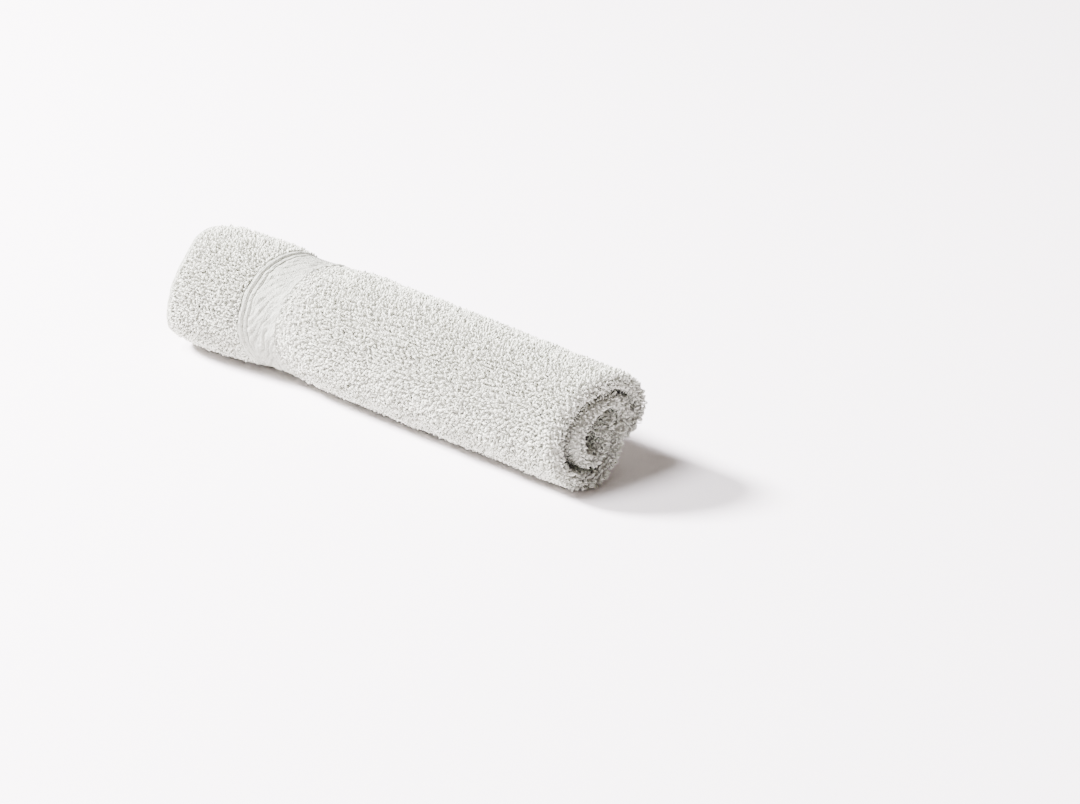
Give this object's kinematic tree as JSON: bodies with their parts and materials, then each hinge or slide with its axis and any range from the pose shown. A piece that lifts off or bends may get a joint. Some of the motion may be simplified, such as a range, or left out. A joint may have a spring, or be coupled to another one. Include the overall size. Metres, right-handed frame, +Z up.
{
  "type": "rolled terry towel",
  "caption": "Cotton terry towel folded in half across its length and rolled up across its width, lying on its side, with the fold at one end and the hems and woven border at the other.",
  "frame": {"origin": "middle of the roll's bounding box, on the surface it lies on", "axes": "+X along the roll from its hemmed end to its folded end, +Z up"},
  "size_m": [0.34, 0.0916, 0.0788],
  "materials": {
    "terry": "looped cotton pile, matt"
  },
  "bodies": {
    "root": {"towel": "terry"}
  },
  "joints": []
}
